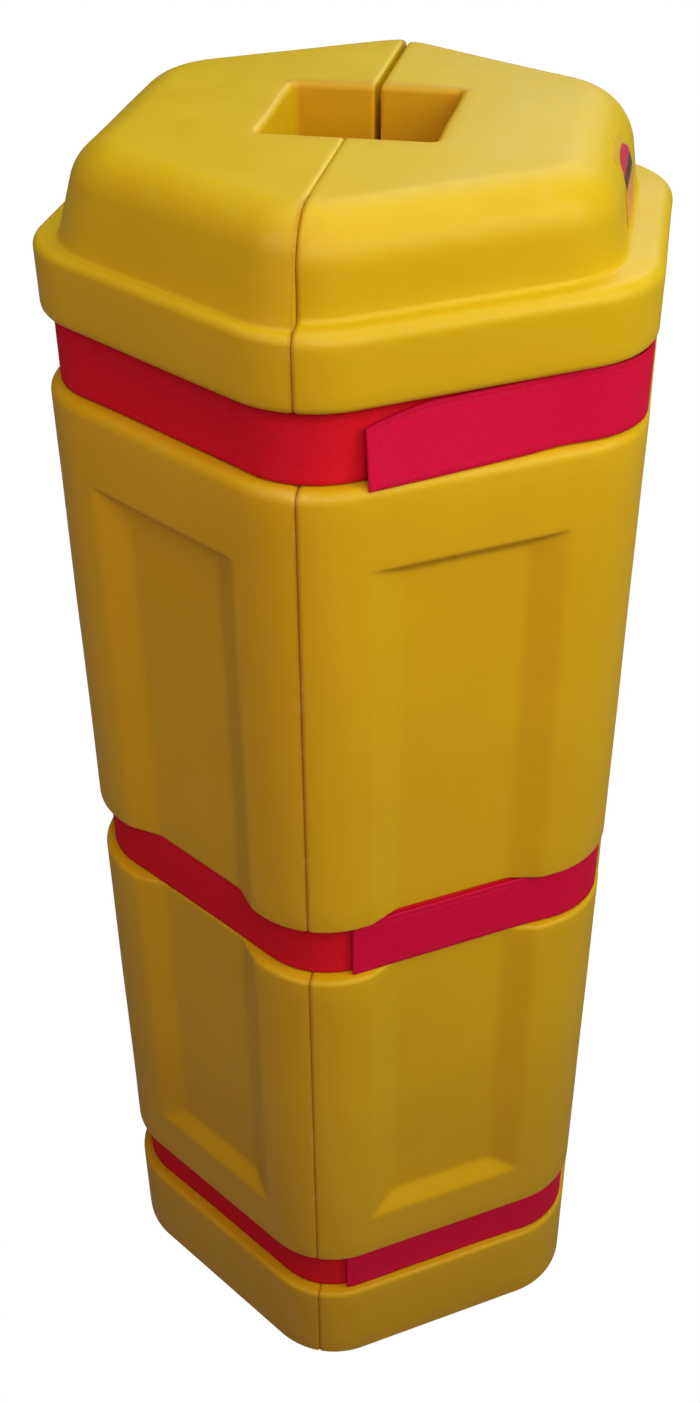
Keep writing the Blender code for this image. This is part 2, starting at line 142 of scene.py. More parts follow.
# ---- finer surface of the half shells -----------------------------------------------------------
SEAM_ROUND = 0.0035       # rounding of the mating faces' outer edges, across the seam
SEAM_DEPTH = 0.0015       # and how deep it goes
PAINTED_SEAM_SHADE = (0.20, 0.48, 0.60, 0.56, 0.38, 0.15)   # painted shade in that rounding, from its bottom out
FRONT_GAP = 0.00010       # from the seam plane to each mating face in front of the channel
BACK_GAP = 0.0021         # what that gap grows by at the back, where the halves stand apart
BACK_FROM, BACK_OVER = -0.03, 0.07   # where along Y it starts to grow, and over how far
CHANNEL_RIM = 0.0045      # rounding of the channel's edge in the top
LEAST_FILLET = 0.0008     # the smallest fillet of a side view moved into the material
WAVE = 0.00040            # how far a moulded wall wanders from flat
CALM = 0.02               # width beside the seam over which it grows to that
SEAM_COLUMNS, NOSE_COLUMNS, CORNER_COLUMNS = 6, 9, 12
FINE_COLUMN, PLAIN_COLUMN = 0.0032, 0.0105   # columns on a recess's side slopes, and elsewhere
# how far the fine columns reach inwards and outwards from a recess's edge
FINE_BANDS = {"face": (0.039, 0.005), "side": (0.036, 0.006)}
ROW_STEP = 0.015          # rows of faces up the plain stretches of the body
SILL_ROWS = (0.005, 0.0022, 16)   # fine rows at a recess's low end: start below it, step, count
HEAD_ROWS = (0.004, 0.0018, 12)   # the same at the foot of its upper slope
CHANNEL_ROWS = 24
TOP_BRIDGE, BASE_BRIDGE = 9, 6    # faces from the outside to the channel, across top and base
CAP_WALL_SHARES = (0.18, 0.30)    # rows up the cap's wall, between its two fillets

# ---- how the straps lie, by girth from the front seam -------------------------------------------
TAPE_STEPS = {"inner": 0.005, "round": 0.0035, "lap": 0.002, "hooks": 0.004}   # between rings
PAST_TAIL = 0.004         # how far the outer layer stays level past the tail's end
LAP_ROOT = 0.292          # where the lap length of a strap is sewn on
JOIN_START, JOIN_END = 0.050, 0.078   # the sewn join of the two tapes, past the back seam
JOIN_RISE_FROM, JOIN_RISE = 0.012, 0.010   # the outer tape's rise before it: start and length
TAB_BEND = 0.012          # how far either side of its hinge a lap bends
SLACK = 0.00035           # how far a tape stands off what it lies on, on average
BULGE = {"top": 0.0058, "middle": 0.0046, "bottom": 0.0034}   # more slack round the right corner
LEFT_BULGE = 0.0032       # the same round the left corner
BULGE_MIDDLE, BULGE_REACH = 0.262, 0.055
LOOSE_FROM = 0.190        # where the lap starts to hang
DROOP = {"top": 0.0030, "middle": 0.0007, "bottom": 0.0}      # how far a lap's free end hangs
FLARE = {"top": 0.0072, "middle": 0.0012, "bottom": 0.0004}   # how far its lower edge stands off
SLANT = {"top": 0.0100, "middle": 0.0, "bottom": 0.0}         # what its top corner is cut down by
SLANT_LENGTH = 0.046      # how far from the free end that cut begins
SLANT_POWER = 1.5         # how much it steepens towards the free end
TAPE_EDGE = 0.0011        # rounding of a tape's edges
PATCH_FROM = 0.006        # from a lap's free end to its hook patch
SEWN_FROM = 0.009         # from that end to the patch's first stitches
SEWN_SPARE = 0.003        # and what is added to the patch's length to reach its last ones
JOIN_MARGIN = 0.004       # from the join's ends to its stitches
STITCH_PITCH = 0.0036
STITCH_REACH = 0.00135    # half a stitch's length
STITCH_THICK = 0.00026
STITCH_ROW = 0.0200       # from a tape's middle to its outer rows of stitches


# ---- shared steps -------------------------------------------------------------------------------
def add_object(name, data):
    made = bpy.data.objects.new(name, data)
    bpy.context.scene.collection.objects.link(made)
    return made


def mesh_from(bm, name):
    mesh = bpy.data.meshes.new(name)
    bm.to_mesh(mesh)
    bm.free()
    return mesh


def mesh_object(bm, name, sharp_angle):
    mesh = mesh_from(bm, name)
    mesh.shade_smooth()
    mesh.set_sharp_from_angle(angle=math.radians(sharp_angle))
    return add_object(name, mesh)


def smooth(value):
    value = min(1.0, max(0.0, value))
    return value * value * (3.0 - 2.0 * value)


# ---- materials ----------------------------------------------------------------------------------
class Nodes:
    """A material's node tree, with short calls for the nodes that the finishes share."""

    def __init__(self, name):
        self.material = bpy.data.materials.new(name)
        self.material.use_nodes = True
        self.tree = self.material.node_tree
        self.shader = self.tree.nodes["Principled BSDF"]

    def add(self, kind, **settings):
        node = self.tree.nodes.new(kind)
        for key, value in settings.items():
            setattr(node, key, value)
        return node

    def link(self, source, target):
        self.tree.links.new(source, target)

    def feed(self, value, socket):
        if isinstance(value, bpy.types.NodeSocket):
            self.link(value, socket)
        else:
            socket.default_value = value

    def noise(self, where, scale, detail=2.0, rough=0.5):
        node = self.add("ShaderNodeTexNoise")
        self.link(where, node.inputs["Vector"])
        node.inputs["Scale"].default_value = scale
        node.inputs["Detail"].default_value = detail
        node.inputs["Roughness"].default_value = rough
        return node.outputs["Fac"]

    def axes(self, vector):
        node = self.add("ShaderNodeSeparateXYZ")
        self.link(vector, node.inputs[0])
        return tuple(node.outputs)

    def math(self, operation, one, two=0.0):
        node = self.add("ShaderNodeMath", operation=operation)
        self.feed(one, node.inputs[0])
        self.feed(two, node.inputs[1])
        return node.outputs[0]

    def span(self, value, low, high, to_low=0.0, to_high=1.0):
        node = self.add("ShaderNodeMapRange", clamp=True, interpolation_type="SMOOTHSTEP")
        self.link(value, node.inputs["Value"])
        settings = {"From Min": low, "From Max": high, "To Min": to_low, "To Max": to_high}
        for key, amount in settings.items():
            node.inputs[key].default_value = amount
        return node.outputs["Result"]

    def mix(self, share, one, two):
        node = self.add("ShaderNodeMix", data_type="RGBA")
        self.feed(share, node.inputs["Factor"])
        for value, socket in ((one, node.inputs[6]), (two, node.inputs[7])):
            self.feed((*value, 1.0) if isinstance(value, tuple) else value, socket)
        return node.outputs[2]

    def bump(self, height, strength, distance, below=None):
        node = self.add("ShaderNodeBump")
        node.inputs["Strength"].default_value = strength
        node.inputs["Distance"].default_value = distance
        self.link(height, node.inputs["Height"])
        if below is not None:
            self.link(below, node.inputs["Normal"])
        return node.outputs["Normal"]

    def stretched(self, where, scale):
        node = self.add("ShaderNodeMapping")
        self.link(where, node.inputs["Vector"])
        node.inputs["Scale"].default_value = scale
        return node.outputs["Vector"]

    def attribute(self, name):
        return self.add("ShaderNodeAttribute", attribute_name=name)

    def set(self, name, value):
        self.feed(value, self.shader.inputs[name])


def moulded_plastic():
    """Golden yellow polyethylene: faint orange peel, mottled colour, pale scuffs on its edges; painted
    shade towards the base, on the channel's far wall and in the seam's rounding, and painted light
    towards the top.
    """
    n = Nodes("moulded_yellow_polyethylene")
    place = n.add("ShaderNodeTexCoord").outputs["Object"]
    x, y, z = n.axes(place)
    edge = n.attribute("edge").outputs["Fac"]
    cloud = n.noise(place, 6.0, 3.0)
    grain = n.noise(place, 90.0, 4.0, 0.6)
    colour = n.mix(n.span(cloud, 0.3, 0.7), (0.690, 0.400, 0.0040), (0.735, 0.436, 0.0055))
    colour = n.mix(n.span(grain, 0.35, 0.75, 0.0, 0.10), colour, (0.78, 0.47, 0.014))
    # Painted shade: the plastic is darker and browner towards the base.
    painted_shade_below = n.span(z, 0.0, 0.42, 0.36, 0.0)
    colour = n.mix(painted_shade_below, colour, (0.58, 0.28, 0.004))
    inside = n.attribute("channel").outputs["Fac"]
    # Painted light: the plastic is yellower towards the top, except in the channel.
    painted_light_above = n.math("MULTIPLY", n.span(z, 0.88, 1.02, 0.0, 0.35),
                            n.math("SUBTRACT", 1.0, inside))
    colour = n.mix(painted_light_above, colour, (0.64, 0.46, 0.0045))
    foot_dirt = n.math("MULTIPLY", n.span(z, 0.030, 0.0, 0.0, 0.30),
                       n.span(n.noise(place, 22.0, 5.0, 0.65), 0.38, 0.68))
    colour = n.mix(foot_dirt, colour, (0.33, 0.19, 0.022))
    # Painted shade on the channel's far wall.
    painted_shade_far_wall = n.math("MULTIPLY", inside, n.span(y, 0.050, 0.058, 0.0, 0.55))
    colour = n.mix(painted_shade_far_wall, colour, (0.54, 0.235, 0.006))
    # Painted shade in the seam's rounding, weaker low down.
    painted_seam_shade = n.math("MULTIPLY", n.attribute("painted_seam_shade").outputs["Fac"],
                       n.span(z, 0.20, 0.85, 0.45, 0.95))
    colour = n.mix(painted_seam_shade, colour, (0.42, 0.17, 0.006))
    rubbed = n.math("MULTIPLY", edge, n.span(n.noise(place, 38.0, 5.0, 0.7), 0.52, 0.72))
    streak = n.noise(n.stretched(place, (60.0, 60.0, 9.0)), 1.0, 4.0, 0.6)
    scratch = n.span(streak, 0.70, 0.78)
    patchy = n.span(n.noise(place, 9.0, 2.0), 0.52, 0.68)
    scratch = n.math("MULTIPLY", scratch, patchy)
    by_seam = n.span(n.math("ABSOLUTE", x), 0.004, 0.024, 0.36, 0.12)
    scuff = n.math("MAXIMUM", n.math("MULTIPLY", rubbed, by_seam), n.math("MULTIPLY", scratch, 0.08))
    colour = n.mix(scuff, colour, (0.90, 0.66, 0.20))
    n.set("Base Color", colour)
    base_rough = n.span(n.noise(place, 26.0, 4.0, 0.6), 0.3, 0.7, 0.40, 0.50)
    n.set("Roughness", n.math("ADD", base_rough, n.math("MULTIPLY", scuff, 0.25)))
    n.set("Specular IOR Level", 0.35)
    peel = n.bump(n.noise(place, 420.0, 2.0), 0.10, 0.0004)
    ripple = n.bump(n.noise(place, 48.0, 3.0), 0.16, 0.0010, peel)
    n.set("Normal", n.bump(scuff, 0.15, 0.0002, ripple))
    return n.material


def webbing(name, deep, pale, pile):
    """Woven hook-and-loop tape; pile is 1 for the brushed loop side, 0 for the plain back."""
    n = Nodes(name)
    tape = n.attribute("tape").outputs["Vector"]
    along, across, _ = n.axes(tape)
    weft_pitch, warp_pitch = 0.0018, 0.0015
    weft = n.math("SINE", n.math("MULTIPLY", along, math.tau / weft_pitch))
    warp = n.math("SINE", n.math("MULTIPLY", across, math.tau / warp_pitch))
    plain = n.math("MULTIPLY", weft, warp)
    weave = n.math("ADD", n.math("MULTIPLY", plain, 0.5), n.math("MULTIPLY", warp, 0.35))
    fuzz = n.noise(n.stretched(tape, (900.0, 900.0, 900.0)), 1.0, 3.0, 0.65)
    felt = n.noise(n.stretched(tape, (210.0, 260.0, 200.0)), 1.0, 4.0, 0.6)
    selvedge = n.span(n.math("ABSOLUTE", across), STRAP_HEIGHT * 0.430, STRAP_HEIGHT * 0.448)
    cloth = n.mix(n.span(felt, 0.25, 0.78), deep, pale)
    thread = n.span(weave, -0.7, 0.7, 0.0, 0.28 - 0.12 * pile)
    cloth = n.mix(thread, cloth, tuple(c * 0.62 for c in deep))
    cloth = n.mix(n.math("MULTIPLY", selvedge, 0.35), cloth, tuple(c * 0.66 for c in deep))
    worn = n.span(n.noise(n.stretched(tape, (14.0, 30.0, 20.0)), 1.0, 3.0), 0.55, 0.75, 0.0, 0.08)
    cloth = n.mix(worn, cloth, tuple(min(1.0, 0.9 * c + 0.008) for c in pale))
    n.set("Base Color", cloth)
    n.set("Roughness", n.span(felt, 0.3, 0.7, 0.62 + 0.18 * pile, 0.72 + 0.20 * pile))
    n.set("Specular IOR Level", 0.15)
    n.set("Sheen Weight", 0.02 + 0.04 * pile)
    n.set("Sheen Roughness", 0.45)
    n.set("Sheen Tint", (*pale, 1.0))
    woven = n.bump(weave, 0.55 - 0.25 * pile, 0.00022)
    tufted = n.bump(fuzz, 0.30 + 0.35 * pile, 0.00030, woven)
    n.set("Normal", n.bump(selvedge, 0.4, 0.0003, tufted))
    return n.material


def hook_tape():
    """The hook side: rows of small stiff hooks on a dark ground."""
    n = Nodes("dark_hook_tape")
    tape = n.attribute("tape").outputs["Vector"]
    dots = n.add("ShaderNodeTexVoronoi", feature="F1")
    n.link(n.stretched(tape, (620.0, 620.0, 620.0)), dots.inputs["Vector"])
    dots.inputs["Scale"].default_value = 1.0
    dots.inputs["Randomness"].default_value = 0.35
    hooks = n.span(dots.outputs["Distance"], 0.15, 0.55, 1.0, 0.0)
    n.set("Base Color", n.mix(hooks, (0.018, 0.016, 0.018), (0.085, 0.070, 0.072)))
    n.set("Roughness", 0.62)
    n.set("Normal", n.bump(hooks, 0.9, 0.0005))
    return n.material


def sewing_thread(name, colour):
    n = Nodes(name)
    place = n.add("ShaderNodeTexCoord").outputs["Object"]
    twist = n.noise(place, 1500.0, 2.0)
    n.set("Base Color", n.mix(n.span(twist, 0.35, 0.7), tuple(0.72 * c for c in colour), colour))
    n.set("Roughness", 0.55)
    n.set("Normal", n.bump(twist, 0.5, 0.0002))
    return n.material


def rubber():
    n = Nodes("black_rubber")
    place = n.add("ShaderNodeTexCoord").outputs["Object"]
    fine = n.noise(place, 700.0, 3.0)
    dust = n.span(n.noise(place, 120.0, 3.0), 0.5, 0.75, 0.0, 0.3)
    n.set("Base Color", n.mix(dust, (0.022, 0.022, 0.023), (0.11, 0.105, 0.095)))
    n.set("Roughness", n.span(fine, 0.3, 0.7, 0.55, 0.70))
    n.set("Normal", n.bump(fine, 0.3, 0.0002))
    return n.material


def label_film():
    """A blank label, clear at its rounded margin: crimson, nearly black and faded salmon bands."""
    n = Nodes("crimson_label_film")
    place = n.add("ShaderNodeTexCoord").outputs["Object"]
    _, y, z = n.axes(place)
    rub = n.span(n.noise(place, 240.0, 4.0, 0.7), 0.55, 0.72, 0.0, 0.35)
    low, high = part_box("cap_label")
    width, tall = high.y - low.y, high.z - low.z
    dark_from, dark_to = low.z + 0.50 * tall, low.z + 0.69 * tall
    blur = 0.0006
    band = n.mix(n.span(z, dark_from - blur, dark_from + blur),
                 (0.72, 0.19, 0.10), (0.05, 0.004, 0.012))
    band = n.mix(n.span(z, dark_to - blur, dark_to + blur), band, (0.62, 0.018, 0.11))
    printed = n.mix(rub, band, (0.62, 0.13, 0.14))
    half_width, half_tall = 0.49 * width, 0.455 * tall
    across = n.math("DIVIDE", n.math("SUBTRACT", y, (low.y + high.y) / 2), half_width)
    up = n.math("DIVIDE", n.math("SUBTRACT", z, low.z + half_tall), half_tall)
    rounded = n.math("ADD", n.math("POWER", n.math("ABSOLUTE", across), 3.0),
                     n.math("POWER", n.math("ABSOLUTE", up), 3.0))
    n.set("Base Color", n.mix(n.span(rounded, 0.92, 1.08), printed, (0.74, 0.46, 0.006)))
    n.set("Roughness", n.span(n.noise(place, 90.0, 3.0), 0.3, 0.7, 0.30, 0.42))
    n.set("Coat Weight", 0.3)
    n.set("Coat Roughness", 0.2)
    n.set("Normal", n.bump(n.noise(place, 160.0, 2.0), 0.08, 0.0003))
    return n.material


def pale_floor():
    """A matt studio floor that gives off a little light, so that it stays nearly white."""
    n = Nodes("pale_floor")
    place = n.add("ShaderNodeTexCoord").outputs["Object"]
    cloud = n.noise(place, 1.5, 3.0)
    n.set("Base Color", n.mix(n.span(cloud, 0.3, 0.7), (0.50, 0.49, 0.50), (0.53, 0.52, 0.53)))
    n.set("Roughness", 0.9)
    n.set("Specular IOR Level", 0.1)
    n.set("Emission Color", (1.0, 1.0, 1.0, 1.0))
    n.set("Emission Strength", FLOOR_GLOW)
    return n.material


# ---- plan shape of a half, seen from above ------------------------------------------------------
NOSE_CENTRE_Y = -NOSE_REACH + NOSE_RADIUS / math.cos(NOSE_ANGLE)
FACE_FIRST = NOSE_RADIUS * math.tan(NOSE_ANGLE) - FACE_LENGTH / 2
FACE_LAST = FACE_LENGTH / 2 - SIDE_RADIUS * math.tan(SIDE_TURN / 2)
SIDE_FIRST = -(SIDE_CORNER_Y - SIDE_RADIUS * math.tan(SIDE_TURN / 2))


def thinned(marks, least):
    """The marks in order, without any that is closer than least to the one kept before it."""
    kept = []
    for mark in sorted(marks):
        if not kept or mark - kept[-1] > least:
            kept.append(mark)
    return kept


def spread(kind, first, last):
    """Stops from first to last across a face, closer together by both edges of its recess."""
    edge = RECESS_EDGES[kind][1]
    within, beyond = FINE_BANDS[kind]
    fine_from, fine_to = edge - within, edge + beyond
    marks = {first, last}
    for sign in (-1.0, 1.0):
        count = round((fine_to - fine_from) / FINE_COLUMN)
        marks.update(sign * (fine_from + (fine_to - fine_from) * k / count) for k in range(count + 1))
    count = round(2 * fine_from / PLAIN_COLUMN)
    marks.update(-fine_from + 2 * fine_from * k / count for k in range(count + 1))
    return thinned((m for m in marks if first - 1e-9 <= m <= last + 1e-9), 0.0008)


def half_columns():
    """The columns of a half from the front seam to the middle of its flat side."""
    columns = []
    for k in range(SEAM_COLUMNS):
        turn = math.pi / 2 * (1.0 - k / SEAM_COLUMNS)
        reach = FRONT_GAP + SEAM_ROUND * (1.0 - math.sin(turn))
        columns.append(("seam", reach, SEAM_DEPTH * (1.0 - math.cos(turn))))
    columns += [("nose", k / NOSE_COLUMNS, 0.0) for k in range(NOSE_COLUMNS)]
    columns += [("face", d, 0.0) for d in spread("face", FACE_FIRST, FACE_LAST)]
    columns += [("corner", k / CORNER_COLUMNS, 0.0) for k in range(1, CORNER_COLUMNS)]
    return columns + [("side", d, 0.0) for d in spread("side", SIDE_FIRST, 0.0)]


def outline_point(column, inset, cap=None):
    """The plan point of a column at an inset; cap is the share up the cap's walls, if any."""
    kind, at, _ = column
    nose, side = NOSE_RADIUS - inset, SIDE_RADIUS - inset
    nose = max(nose, LEAST_RADIUS)
    extra = 0.0
    if cap is not None:
        extra = CAP_FOOT_EXTRA + (CAP_TOP_EXTRA - CAP_FOOT_EXTRA) * cap
        side = max(side, LEAST_RADIUS) + CAP_SIDE_GROWTH
    nose_y = -NOSE_REACH + (inset + nose) / math.cos(NOSE_ANGLE)
    side_x = HALF_WIDTH - inset - extra - side
    side_y = side_x * math.tan(NOSE_ANGLE) - NOSE_REACH + (inset + side) / math.cos(NOSE_ANGLE)
    if kind == "seam":
        return at, nose_y - math.sqrt(nose**2 - at**2)
    first = math.asin((FRONT_GAP + SEAM_ROUND) / nose)
    if kind == "nose":
        turn = first + (NOSE_ANGLE - first) * at
        return nose * math.sin(turn), nose_y - nose * math.cos(turn)
    if kind == "face":
        share = (at - FACE_FIRST) / (FACE_LAST - FACE_FIRST)
        start = (nose * math.sin(NOSE_ANGLE), nose_y - nose * math.cos(NOSE_ANGLE))
        end = (side_x + side * math.sin(NOSE_ANGLE), side_y - side * math.cos(NOSE_ANGLE))
        return start[0] + (end[0] - start[0]) * share, start[1] + (end[1] - start[1]) * share
    if kind == "corner":
        turn = NOSE_ANGLE + SIDE_TURN * at
        return side_x + side * math.sin(turn), side_y - side * math.cos(turn)
    return side_x + side, side_y * at / SIDE_FIRST


def channel_points(columns):
    """For each column, a point of the channel wall and the direction into the material."""
    outer = [outline_point(column, 0.0) for column in columns]
    walked = [0.0]
    for (x0, y0), (x1, y1) in zip(outer, outer[1:]):
        walked.append(walked[-1] + math.hypot(x1 - x0, y1 - y0))
    lead = sum(column[0] == "seam" for column in columns)
    corner = min(range(len(outer)), key=lambda k: abs(outer[k][0] + outer[k][1]))
    flat = CHANNEL_HALF - CHANNEL_ROUND
    first, last = corner - 2, corner + 2
    found = []
    for k, column in enumerate(columns):
        if k < lead:
            found.append(((column[1], -CHANNEL_HALF), (0.0, -1.0)))
        elif k <= first:
            share = (walked[k] - walked[lead]) / (walked[first] - walked[lead])
            start = FRONT_GAP + SEAM_ROUND
            found.append(((start + (flat - start) * share, -CHANNEL_HALF), (0.0, -1.0)))
        elif k < last:
            turn = math.pi / 2 * (k - first) / (last - first)
            way = (math.sin(turn), -math.cos(turn))
            at = (flat + CHANNEL_ROUND * way[0], -flat + CHANNEL_ROUND * way[1])
            found.append((at, way))
        else:
            share = (walked[k] - walked[last]) / (walked[-1] - walked[last])
            found.append(((CHANNEL_HALF, -flat * (1.0 - share)), (1.0, 0.0)))
    return found


# ---- side view of a half ------------------------------------------------------------------------
def plain_rows(low, high):
    """Heights between two fillets, close together where a recess begins or ends."""
    below, step, count = SILL_ROWS
    marks = [RECESS_LOW - below + step * k for k in range(count)]
    below, step, count = HEAD_ROWS
    marks += [RECESS_HIGH - RECESS_HEAD - below + step * k for k in range(count)]
    count = max(1, round((high - low) / ROW_STEP))
    marks += [low + (high - low) * k / count for k in range(1, count)]
    return thinned((m for m in marks if low + 0.001 < m < high - 0.001), 0.0012)


def side_corners(label):
    """A half's outer side view as (inset, z, fillet radius, fillet steps), base to cap."""
    corners = [(0.0, 0.0, BASE_ROUND, 5)]
    reached = BASE_ROUND
    for level in ("bottom", "middle", "top"):
        low = GROOVE_BOTTOMS[level]
        high = low + GROOVE_HEIGHT
        below, above = GROOVE_LIPS[level]
        corners += [(0.0, z, 0.0, 0) for z in plain_rows(reached + 0.004, low - below - 0.002)]
        corners += [(0.0, low, below, 5), (GROOVE_DEPTH, low, 0.0, 0)]
        corners += [(GROOVE_DEPTH, low + GROOVE_HEIGHT / 2, 0.0, 0)]
        corners += [(GROOVE_DEPTH, high, 0.0, 0), (0.0, high, above, 4)]
        reached = high + above
    ledge = COLLAR_TOP[label]
    corners += [(0.0, z, 0.0, 0) for z in (reached + 0.008, ledge - 0.018)]
    corners += [(0.0, ledge, COLLAR_ROUND[label], 8)]
    foot, top = CAP_FOOT_INSET[label], CAP_TOP_INSET[label]
    corners += [(foot, ledge, CAP_FOOT_ROUND[label], 5)]
    for share in CAP_WALL_SHARES:
        corners.append((foot + (top - foot) * share, ledge + (HEIGHT - ledge) * share, 0.0, 0))
    return corners + [(top, HEIGHT, CAP_ROUND[label], 16)]


def unit(one, two):
    length = math.hypot(two[0] - one[0], two[1] - one[1])
    return (two[0] - one[0]) / length, (two[1] - one[1]) / length


def side_rows(label, shrink):
    """Points (inset, z, edge) of the side view moved into the material by shrink."""
    corners = side_corners(label)
    points = []
    for k, (inset, z, radius, steps) in enumerate(corners):
        before = corners[k - 1][:2] if k else (1.0, 0.0)
        after = corners[k + 1][:2] if k + 1 < len(corners) else (1.0, HEIGHT)
        arrive = unit(before, (inset, z))
        leave = unit((inset, z), after)
        one, two = (arrive[1], -arrive[0]), (leave[1], -leave[0])
        scale = shrink / (1.0 + one[0] * two[0] + one[1] * two[1])
        at = (inset + scale * (one[0] + two[0]), z + scale * (one[1] + two[1]))
        bend = arrive[0] * leave[1] - arrive[1] * leave[0]
        if steps == 0:
            points.append((*at, 0.0))
            continue
        convex = bend < 0.0
        radius = max(radius - shrink, LEAST_FILLET) if convex else radius + shrink
        swing = math.atan2(bend, arrive[0] * leave[0] + arrive[1] * leave[1])
        reach = radius * math.tan(abs(swing) / 2)
        x, y = at[0] - arrive[0] * reach, at[1] - arrive[1] * reach
        way = math.copysign(1.0, swing)
        centre = (x - way * radius * arrive[1], y + way * radius * arrive[0])
        for step in range(steps + 1):
            turn = swing * step / steps
            dx, dy = x - centre[0], y - centre[1]
            px = centre[0] + dx * math.cos(turn) - dy * math.sin(turn)
            py = centre[1] + dx * math.sin(turn) + dy * math.cos(turn)
            worn = math.sin(math.pi * step / steps) if convex else 0.0
            points.append((px, py, worn))
    return points


def channel_rows(shrink):
    """Points (distance into the material, z, edge) down the channel wall."""
    rim = max(CHANNEL_RIM - shrink, LEAST_FILLET)
    turns = [math.pi / 2 * k / 5 for k in range(6)]
    top = HEIGHT - shrink
    rows = [
        (shrink + rim * (1.0 - math.sin(t)), top - rim * (1.0 - math.cos(t)), math.sin(2 * t))
        for t in turns
    ]
    low, high = shrink + rim, top - rim
    rows += [(shrink, high - (high - low) * k / CHANNEL_ROWS, 0.0) for k in range(1, CHANNEL_ROWS)]
    rows += [
        (shrink + rim * (1.0 - math.cos(t)), shrink + rim * (1.0 - math.sin(t)), 0.0)
        for t in turns
    ]
    return rows


def recess(column, z):
    """How far the face is sunk at a column and height: soft slopes, mitred at the corners."""
    kind, at, _ = column
    if kind not in RECESS_EDGES:
        return 0.0
    near, far = RECESS_EDGES[kind]
    slopes = [
        (at - near) / RECESS_SLOPE,
        (far - at) / RECESS_SLOPE,
        (z - RECESS_LOW) / RECESS_SILL,
        (RECESS_HIGH - z) / RECESS_HEAD,
    ]
    mitre = 0.10
    least = 1.0
    for slope in slopes:
        slope = min(1.3, max(-0.3, slope))
        mixing = max(0.0, mitre - abs(least - slope)) / mitre
        least = min(least, slope) - mixing * mixing * mitre / 4
    return RECESS_DEPTH * rounded_ramp(least)


def rounded_ramp(value, soft=0.20):
    """0 to 1 along a straight slope whose two ends are rounded over a share of its length."""
    value = min(1.0, max(0.0, value))
    if value < soft:
        rise = value * value / (2 * soft)
    elif value > 1.0 - soft:
        rise = (1.0 - soft) - (1.0 - value) ** 2 / (2 * soft)
    else:
        rise = value - soft / 2
    return rise / (1.0 - soft)


# ---- half shells --------------------------------------------------------------------------------
def section(label, column, wall):
    """One closed ring of a half: up the outside, over the top, down the channel, under the base."""
    channel = channel_rows(column[2])
    ledge = COLLAR_TOP[label]
    ring = []
    for inset, z, edge in side_rows(label, column[2]):
        cap = None
        if z > ledge - 0.005 and inset > COLLAR_ROUND[label] + 0.0003:
            cap = min(1.0, max(0.0, (z - ledge) / (HEIGHT - ledge)))
        sunk = recess(column, z) * max(0.0, 1.0 - inset / GROOVE_DEPTH)
        x, y = outline_point(column, inset + sunk, cap)
        ring.append((x, y, z, edge, "out"))
    (wall_x, wall_y), way = wall
    down = [(wall_x + way[0] * j, wall_y + way[1] * j, z, e, "in") for j, z, e in channel]

    def bridge(one, two, count):
        for k in range(1, count):
            share = k / count
            yield tuple(one[i] + (two[i] - one[i]) * share for i in range(3)) + (0.0, "flat")

    over = list(bridge(ring[-1], down[0], TOP_BRIDGE))
    under = list(bridge(down[-1], ring[0], BASE_BRIDGE))
    return ring + over + down + under


def wander(place):
    """The slow unevenness of a moulded wall, from -1 to 1."""
    slow = noise.noise(place * 7.0)
    return 1.3 * slow + 0.35 * noise.noise(place * 21.0 + Vector((3.0, 1.0, 2.0)))


def half_rings(label):
    """The rings of (x, y, z, edge, part) round a half, from its front seam to its back seam."""
    columns = half_columns()
    walls = channel_points(columns)
    rings = []
    for column, wall in zip(columns, walls):
        ring = section(label, column, wall)
        turned = column[2] / SEAM_DEPTH
        rubbed = 3.6 * turned * (1.0 - turned)
        rings.append([(x, y, z, max(edge, rubbed), part) for x, y, z, edge, part in ring])
    back = [[(x, -y, z, edge, part) for x, y, z, edge, part in ring] for ring in rings[-2::-1]]
    rings += back
    return [[(ajar(x, y), y, z, edge, part) for x, y, z, edge, part in ring] for ring in rings]


def half_shell(label, side, finish):
    """A half's moulding: its outside, channel and mating faces as one closed mesh."""
    rings = half_rings(label)
    bm = bmesh.new()
    worn = bm.verts.layers.float.new("edge")
    inside = bm.verts.layers.float.new("channel")
    # The next layer holds how much painted shade each vertex of the seam's rounding gets.
    seam_shade_layer = bm.verts.layers.float.new("painted_seam_shade")
    loops = []
    loose = []
    for at, ring in enumerate(rings):
        loop = []
        from_seam = min(at, len(rings) - 1 - at)
        seam_shade = PAINTED_SEAM_SHADE[from_seam] if from_seam < len(PAINTED_SEAM_SHADE) else 0.0
        for x, y, z, edge, part in ring:
            vert = bm.verts.new((side * x, y, z))
            vert[worn] = edge if part != "in" or z > HEIGHT / 2 else 0.0
            vert[inside] = 1.0 if part == "in" else 0.0
            vert[seam_shade_layer] = seam_shade if part == "out" else 0.0
            loop.append(vert)
            free = part != "in" and not in_groove(z) and z > BASE_ROUND
            loose.append(smooth((x - FRONT_GAP) / CALM) if free else 0.0)
        loops.append(loop)
    count = len(loops[0])
    for one, two in zip(loops, loops[1:]):
        for k in range(count):
            bm.faces.new((one[k], two[k], two[(k + 1) % count], one[(k + 1) % count]))
    bm.faces.new(loops[0])
    bm.faces.new(loops[-1])
    bmesh.ops.recalc_face_normals(bm, faces=bm.faces[:])
    bm.normal_update()
    moves = [v.normal * (WAVE * w * wander(v.co)) for v, w in zip(bm.verts, loose)]
    for vert, move in zip(bm.verts, moves):
        vert.co += move
    shell = mesh_object(bm, label + "_half_moulding", sharp_angle=50)
    shell.data.materials.append(finish)
    sink_vent(shell, label, side)
    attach(shell, label + "_half")
    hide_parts(label + "_half_shell")


